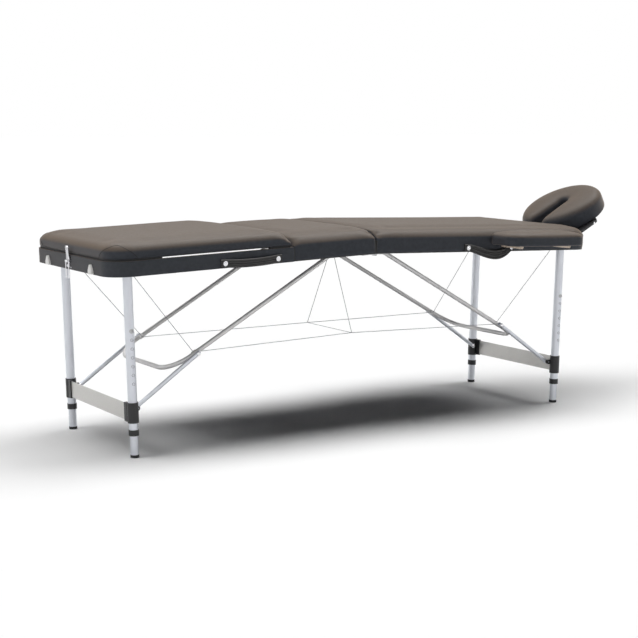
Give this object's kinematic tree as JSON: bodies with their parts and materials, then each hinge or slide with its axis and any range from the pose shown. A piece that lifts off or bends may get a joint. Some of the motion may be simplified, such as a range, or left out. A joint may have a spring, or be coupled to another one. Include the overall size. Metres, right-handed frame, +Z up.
{
  "type": "folding massage table",
  "caption": "Portable padded massage table in two hinged halves on telescopic folding legs, with a lifting backrest, a face cradle and side armrests.",
  "frame": {"origin": "on the floor under the middle of the table's overall box", "axes": "+X along the bed towards the face cradle, +Y across to the side without carry handles, +Z up"},
  "size_m": [2.143, 0.864, 0.7567],
  "materials": {
    "vinyl": "satin",
    "black_wood": "matte",
    "plywood": "matte",
    "silver": "satin",
    "plate": "satin",
    "steel": "satin",
    "grey_tube": "satin",
    "chrome": "polished",
    "black_plastic": "matte",
    "white_plastic": "satin",
    "rubber": "matte",
    "beech": "satin",
    "wire": "satin"
  },
  "bodies": {
    "left_frame": {"left_rail_near": "black_wood", "left_rail_far": "black_wood", "left_rail_end": "black_wood", "left_crossbeams": "black_wood", "mid_board": "plywood", "mid_pad": "vinyl", "left_hinges": "steel", "left_pivot_hardware": "steel", "left_handle": "black_plastic", "latch_base": "chrome", "left_cable_clips": "white_plastic", "stay_racks": "silver", "rest_strips": "rubber", "left_cables": "wire"},
    "backrest": {"backrest_board": "plywood", "backrest_pad": "vinyl", "backrest_fittings": "steel"},
    "backrest_stay": {"backrest_stay": "steel"},
    "latch_lever": {"latch_lever": "chrome"},
    "latch_bail": {"latch_bail": "chrome"},
    "right_frame": {"right_rail_near": "black_wood", "right_rail_far": "black_wood", "right_rail_end": "black_wood", "right_fold_beam": "black_wood", "right_board": "plywood", "right_pad": "vinyl", "right_hinges": "steel", "right_pivot_hardware": "steel", "right_handle": "black_plastic", "latch_catch": "chrome", "right_cables": "wire"},
    "cradle_slide": {"cradle_yoke": "steel"},
    "cradle": {"cradle_plate": "black_plastic", "face_pad": "vinyl"},
    "armrest_near": {"armrest_near_base": "beech", "armrest_near_pad": "vinyl"},
    "armrest_far": {"armrest_far_base": "beech", "armrest_far_pad": "vinyl"},
    "left_legs": {"left_leg_tubes": "silver", "left_leg_clamps": "black_plastic", "left_cross_plate": "plate"},
    "left_struts": {"left_struts": "silver"},
    "left_brace": {"left_brace": "grey_tube"},
    "left_inner_near": {"left_inner_leg_near": "silver", "left_foot_near": "rubber"},
    "left_button_near": {"left_button_near": "steel"},
    "left_inner_far": {"left_inner_leg_far": "silver", "left_foot_far": "rubber"},
    "left_button_far": {"left_button_far": "steel"},
    "right_legs": {"right_leg_tubes": "silver", "right_leg_clamps": "black_plastic", "right_cross_plate": "plate"},
    "right_struts": {"right_struts": "silver"},
    "right_brace": {"right_brace": "grey_tube"},
    "right_inner_near": {"right_inner_leg_near": "silver", "right_foot_near": "rubber"},
    "right_button_near": {"right_button_near": "steel"},
    "right_inner_far": {"right_inner_leg_far": "silver", "right_foot_far": "rubber"},
    "right_button_far": {"right_button_far": "steel"}
  },
  "joints": [
    {"name": "fold", "type": "hinge", "parent": "left_frame", "child": "right_frame", "pos_m": [-0.13822, 0, 0.5754], "axis": [0, 1, 0], "range_deg": [0, 85], "deforming": ["left_cables"]},
    {"name": "backrest_lift", "type": "hinge", "parent": "left_frame", "child": "backrest", "pos_m": [-0.45148, 0, 0.61545], "axis": [0, 1, 0], "range_deg": [0, 60]},
    {"name": "backrest_stay_swing", "type": "hinge", "parent": "backrest", "child": "backrest_stay", "pos_m": [-0.73135, 0, 0.6069], "axis": [0, -1, 0], "range_deg": [0, 120]},
    {"name": "latch_lever_turn", "type": "hinge", "parent": "left_frame", "child": "latch_lever", "pos_m": [-1.06301, 0, 0.56475], "axis": [0, -1, 0], "range_deg": [0, 100]},
    {"name": "latch_bail_swing", "type": "hinge", "parent": "latch_lever", "child": "latch_bail", "pos_m": [-1.06788, 0, 0.57661], "axis": [0, -1, 0], "range_deg": [-100, 0]},
    {"name": "left_legs_fold", "type": "hinge", "parent": "left_frame", "child": "left_legs", "pos_m": [-0.97825, 0, 0.56734], "axis": [0, -1, 0], "range_deg": [0, 90]},
    {"name": "left_brace_fold", "type": "hinge", "parent": "left_frame", "child": "left_brace", "pos_m": [-0.1958, 0, 0.59725], "axis": [0, 1, 0], "range_deg": [0, 27.78], "deforming": ["left_cables"]},
    {"name": "left_struts_fold", "type": "hinge", "parent": "left_legs", "child": "left_struts", "pos_m": [-0.94537, 0, 0.14615], "axis": [0, -1, 0], "range_deg": [0, 60.13]},
    {"name": "left_leg_extend_near", "type": "slide", "parent": "left_legs", "child": "left_inner_near", "axis": [0.0305, 0, -0.9995], "range_m": [0, 0.159]},
    {"name": "left_button_push_near", "type": "slide", "parent": "left_inner_near", "child": "left_button_near", "axis": [0, -1, 0], "range_m": [0, 0.004]},
    {"name": "left_leg_extend_far", "type": "slide", "parent": "left_legs", "child": "left_inner_far", "axis": [0.0305, 0, -0.9995], "range_m": [0, 0.159]},
    {"name": "left_button_push_far", "type": "slide", "parent": "left_inner_far", "child": "left_button_far", "axis": [0, 1, 0], "range_m": [0, 0.004]},
    {"name": "right_legs_fold", "type": "hinge", "parent": "right_frame", "child": "right_legs", "pos_m": [0.70182, 0, 0.56734], "axis": [0, 1, 0], "range_deg": [0, 90]},
    {"name": "right_brace_fold", "type": "hinge", "parent": "right_frame", "child": "right_brace", "pos_m": [-0.08063, 0, 0.59725], "axis": [0, -1, 0], "range_deg": [0, 27.78], "deforming": ["right_cables"]},
    {"name": "right_struts_fold", "type": "hinge", "parent": "right_legs", "child": "right_struts", "pos_m": [0.66894, 0, 0.14615], "axis": [0, 1, 0], "range_deg": [0, 60.13]},
    {"name": "right_leg_extend_near", "type": "slide", "parent": "right_legs", "child": "right_inner_near", "axis": [-0.0305, 0, -0.9995], "range_m": [0, 0.159]},
    {"name": "right_button_push_near", "type": "slide", "parent": "right_inner_near", "child": "right_button_near", "axis": [0, -1, 0], "range_m": [0, 0.004]},
    {"name": "right_leg_extend_far", "type": "slide", "parent": "right_legs", "child": "right_inner_far", "axis": [-0.0305, 0, -0.9995], "range_m": [0, 0.159]},
    {"name": "right_button_push_far", "type": "slide", "parent": "right_inner_far", "child": "right_button_far", "axis": [0, 1, 0], "range_m": [0, 0.004]},
    {"name": "cradle_pull", "type": "slide", "parent": "right_frame", "child": "cradle_slide", "axis": [0.9995, 0, -0.0305], "range_m": [0, 0.1]},
    {"name": "cradle_tilt", "type": "hinge", "parent": "cradle_slide", "child": "cradle", "pos_m": [0.81383, 0, 0.56592], "axis": [0, 1, 0], "range_deg": [0, 50]},
    {"name": "armrest_near_pull", "type": "slide", "parent": "right_frame", "child": "armrest_near", "axis": [0, -1, 0], "range_m": [0, 0.04]},
    {"name": "armrest_far_pull", "type": "slide", "parent": "right_frame", "child": "armrest_far", "axis": [0, 1, 0], "range_m": [0, 0.04]}
  ],
  "couplings": [
    {"joint": "backrest_stay_swing", "follows": "backrest_lift", "ratio": 2},
    {"joint": "latch_bail_swing", "follows": "latch_lever_turn", "ratio": -1},
    {"joint": "left_brace_fold", "follows": "left_legs_fold", "ratio": 0.30812},
    {"joint": "left_struts_fold", "follows": "left_legs_fold", "ratio": 0.66756},
    {"joint": "right_brace_fold", "follows": "right_legs_fold", "ratio": 0.30812},
    {"joint": "right_struts_fold", "follows": "right_legs_fold", "ratio": 0.66756}
  ]
}
